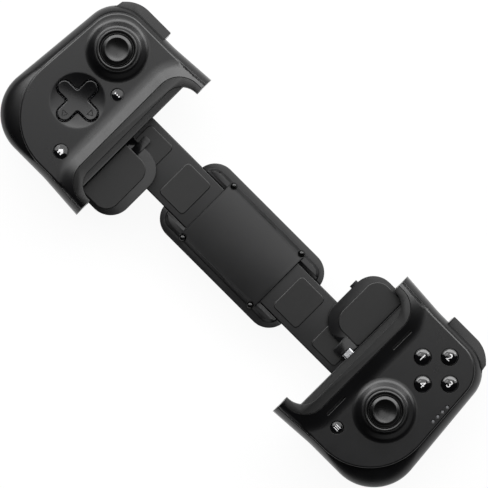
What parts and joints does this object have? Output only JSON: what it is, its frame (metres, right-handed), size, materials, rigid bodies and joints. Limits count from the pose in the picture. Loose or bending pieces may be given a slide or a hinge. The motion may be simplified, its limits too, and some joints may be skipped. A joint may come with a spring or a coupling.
{
  "type": "mobile game controller",
  "caption": "Telescoping game controller that clamps a phone between two grips, with thumb sticks, cross pad, round buttons, bumpers and triggers.",
  "frame": {"origin": "bottom centre of the bounding box, on the table under the middle of the centre module", "axes": "+X along the controller towards the right grip, +Y up the face towards the bumpers, +Z out of the face"},
  "size_m": [0.2752, 0.0966, 0.0419],
  "materials": {
    "shell_plastic": "fine-textured moulded plastic, dark grey",
    "cover_plastic": "fine-textured moulded plastic, dark grey",
    "channel_rubber": "soft moulded rubber",
    "pad_rubber": "soft moulded rubber, fine grain",
    "strap_plastic": "smooth matte plastic",
    "bridge_plastic": "fine-textured moulded plastic",
    "cap_rubber": "stick cap rubber",
    "stick_plastic": "polished black plastic",
    "button_plastic": "glossy black plastic with a pale legend",
    "bumper_plastic": "satin grey plastic",
    "trigger_plastic": "matte dark plastic",
    "pin_steel": "drawn steel wire",
    "dark_pin": "black moulded pins",
    "guide_plastic": "black slippery plastic",
    "board": "green solder-masked board",
    "membrane_rubber": "pale silicone rubber",
    "screw_steel": "blackened steel",
    "plug_metal": "bright stamped steel",
    "socket_metal": "stamped steel",
    "socket_plastic": "black moulded plastic",
    "light_plastic": "milky clear plastic",
    "gauze": "fine black gauze"
  },
  "bodies": {
    "center": {"center_base": "bridge_plastic", "center_cover": "bridge_plastic", "center_pins": "dark_pin"},
    "left_strap": {"left_strap": "strap_plastic", "left_strap_pads": "pad_rubber"},
    "left_grip": {"left_front_cover": "cover_plastic", "left_rear_shell": "shell_plastic", "left_phone_channel": "channel_rubber", "left_phone_rest": "shell_plastic", "left_phone_rest_pad": "pad_rubber", "left_strap_guide": "guide_plastic", "left_circuit_board": "board", "left_button_membrane": "membrane_rubber", "left_case_screws": "screw_steel", "left_bumper_pin": "pin_steel", "left_trigger_pin": "pin_steel", "left_trigger_spring": "pin_steel", "left_stick_housing": "guide_plastic", "left_headphone_socket": "socket_plastic"},
    "left_stick_gimbal": {"left_stick_gimbal": "guide_plastic"},
    "left_stick_pivot": {"left_stick_pivot": "guide_plastic"},
    "left_stick": {"left_stick_shaft": "stick_plastic", "left_stick_cap": "cap_rubber"},
    "left_bumper": {"left_bumper": "bumper_plastic"},
    "left_trigger": {"left_trigger": "trigger_plastic"},
    "right_strap": {"right_strap": "strap_plastic", "right_strap_pads": "pad_rubber"},
    "right_grip": {"right_front_cover": "cover_plastic", "right_rear_shell": "shell_plastic", "right_phone_channel": "channel_rubber", "right_phone_rest": "shell_plastic", "right_phone_rest_pad": "pad_rubber", "right_strap_guide": "guide_plastic", "right_circuit_board": "board", "right_button_membrane": "membrane_rubber", "right_case_screws": "screw_steel", "right_bumper_pin": "pin_steel", "right_trigger_pin": "pin_steel", "right_trigger_spring": "pin_steel", "right_stick_housing": "guide_plastic", "right_phone_plug": "plug_metal", "right_plug_carrier": "socket_plastic", "right_charge_socket": "socket_metal", "right_light_pipes": "light_plastic", "right_vent_gauze": "gauze"},
    "right_stick_gimbal": {"right_stick_gimbal": "guide_plastic"},
    "right_stick_pivot": {"right_stick_pivot": "guide_plastic"},
    "right_stick": {"right_stick_shaft": "stick_plastic", "right_stick_cap": "cap_rubber"},
    "right_bumper": {"right_bumper": "bumper_plastic"},
    "right_trigger": {"right_trigger": "trigger_plastic"},
    "left_cross_pad_pivot": {"left_cross_pad_pivot": "guide_plastic"},
    "left_cross_pad": {"left_cross_pad": "button_plastic"},
    "left_dots_button": {"left_dots_button": "button_plastic"},
    "left_home_button": {"left_home_button": "button_plastic"},
    "right_bars_button": {"right_bars_button": "button_plastic"},
    "right_face_button_1": {"right_face_button_1": "button_plastic"},
    "right_face_button_2": {"right_face_button_2": "button_plastic"},
    "right_face_button_3": {"right_face_button_3": "button_plastic"},
    "right_face_button_4": {"right_face_button_4": "button_plastic"}
  },
  "joints": [
    {"name": "left_strap_slide", "type": "slide", "parent": "center", "child": "left_strap", "axis": [1, 0, 0], "range_m": [0, 0.019]},
    {"name": "left_grip_slide", "type": "slide", "parent": "left_strap", "child": "left_grip", "axis": [1, 0, 0], "range_m": [0, 0.0295]},
    {"name": "left_stick_tilt_y", "type": "hinge", "parent": "left_grip", "child": "left_stick_gimbal", "pos_m": [-0.1115, 0.02355, 0.0265], "axis": [1, 0, 0], "range_deg": [-12, 12], "stiffness_Nm_per_rad": 0.03},
    {"name": "left_stick_tilt_x", "type": "hinge", "parent": "left_stick_gimbal", "child": "left_stick_pivot", "pos_m": [-0.1115, 0.02355, 0.0265], "axis": [0, 1, 0], "range_deg": [-12, 12], "stiffness_Nm_per_rad": 0.03},
    {"name": "left_stick_press", "type": "slide", "parent": "left_stick_pivot", "child": "left_stick", "axis": [0, 0, -1], "range_m": [0, 0.0005], "stiffness_N_per_m": 900, "springref_m": -0.0001},
    {"name": "left_bumper_press", "type": "hinge", "parent": "left_grip", "child": "left_bumper", "pos_m": [-0.1015, 0.0403, 0.0233], "axis": [0, 0, 1], "range_deg": [0, 2.5], "stiffness_Nm_per_rad": 0.3, "springref_deg": -1.72},
    {"name": "left_trigger_pull", "type": "hinge", "parent": "left_grip", "child": "left_trigger", "pos_m": [-0.11165, 0.03615, 0.0154], "axis": [-1, 0, 0], "range_deg": [0, 12], "stiffness_Nm_per_rad": 0.05, "springref_deg": -5.73},
    {"name": "right_strap_slide", "type": "slide", "parent": "center", "child": "right_strap", "axis": [-1, 0, 0], "range_m": [0, 0.019]},
    {"name": "right_grip_slide", "type": "slide", "parent": "right_strap", "child": "right_grip", "axis": [-1, 0, 0], "range_m": [0, 0.0295]},
    {"name": "right_stick_tilt_y", "type": "hinge", "parent": "right_grip", "child": "right_stick_gimbal", "pos_m": [0.1071, -0.00895, 0.0265], "axis": [1, 0, 0], "range_deg": [-12, 12], "stiffness_Nm_per_rad": 0.03},
    {"name": "right_stick_tilt_x", "type": "hinge", "parent": "right_stick_gimbal", "child": "right_stick_pivot", "pos_m": [0.1071, -0.00895, 0.0265], "axis": [0, 1, 0], "range_deg": [-12, 12], "stiffness_Nm_per_rad": 0.03},
    {"name": "right_stick_press", "type": "slide", "parent": "right_stick_pivot", "child": "right_stick", "axis": [0, 0, -1], "range_m": [0, 0.0005], "stiffness_N_per_m": 900, "springref_m": -0.0001},
    {"name": "right_bumper_press", "type": "hinge", "parent": "right_grip", "child": "right_bumper", "pos_m": [0.1015, 0.0403, 0.0233], "axis": [0, 0, -1], "range_deg": [0, 2.5], "stiffness_Nm_per_rad": 0.3, "springref_deg": -1.72},
    {"name": "right_trigger_pull", "type": "hinge", "parent": "right_grip", "child": "right_trigger", "pos_m": [0.11165, 0.03615, 0.0154], "axis": [-1, 0, 0], "range_deg": [0, 12], "stiffness_Nm_per_rad": 0.05, "springref_deg": -5.73},
    {"name": "left_cross_pad_rock_y", "type": "hinge", "parent": "left_grip", "child": "left_cross_pad_pivot", "pos_m": [-0.1079, -0.0079, 0.028], "axis": [1, 0, 0], "range_deg": [-3, 3], "stiffness_Nm_per_rad": 0.08},
    {"name": "left_cross_pad_rock_x", "type": "hinge", "parent": "left_cross_pad_pivot", "child": "left_cross_pad", "pos_m": [-0.1079, -0.0079, 0.028], "axis": [0, 1, 0], "range_deg": [-3, 3], "stiffness_Nm_per_rad": 0.08},
    {"name": "left_dots_button_press", "type": "slide", "parent": "left_grip", "child": "left_dots_button", "axis": [0, 0, -1], "range_m": [0, 0.0008], "stiffness_N_per_m": 500, "springref_m": -0.0002},
    {"name": "left_home_button_press", "type": "slide", "parent": "left_grip", "child": "left_home_button", "axis": [0, 0, -1], "range_m": [0, 0.0008], "stiffness_N_per_m": 500, "springref_m": -0.0002},
    {"name": "right_bars_button_press", "type": "slide", "parent": "right_grip", "child": "right_bars_button", "axis": [0, 0, -1], "range_m": [0, 0.0008], "stiffness_N_per_m": 500, "springref_m": -0.0002},
    {"name": "right_face_button_1_press", "type": "slide", "parent": "right_grip", "child": "right_face_button_1", "axis": [0, 0, -1], "range_m": [0, 0.0012], "stiffness_N_per_m": 500, "springref_m": -0.0002},
    {"name": "right_face_button_2_press", "type": "slide", "parent": "right_grip", "child": "right_face_button_2", "axis": [0, 0, -1], "range_m": [0, 0.0012], "stiffness_N_per_m": 500, "springref_m": -0.0002},
    {"name": "right_face_button_3_press", "type": "slide", "parent": "right_grip", "child": "right_face_button_3", "axis": [0, 0, -1], "range_m": [0, 0.0012], "stiffness_N_per_m": 500, "springref_m": -0.0002},
    {"name": "right_face_button_4_press", "type": "slide", "parent": "right_grip", "child": "right_face_button_4", "axis": [0, 0, -1], "range_m": [0, 0.0012], "stiffness_N_per_m": 500, "springref_m": -0.0002}
  ]
}
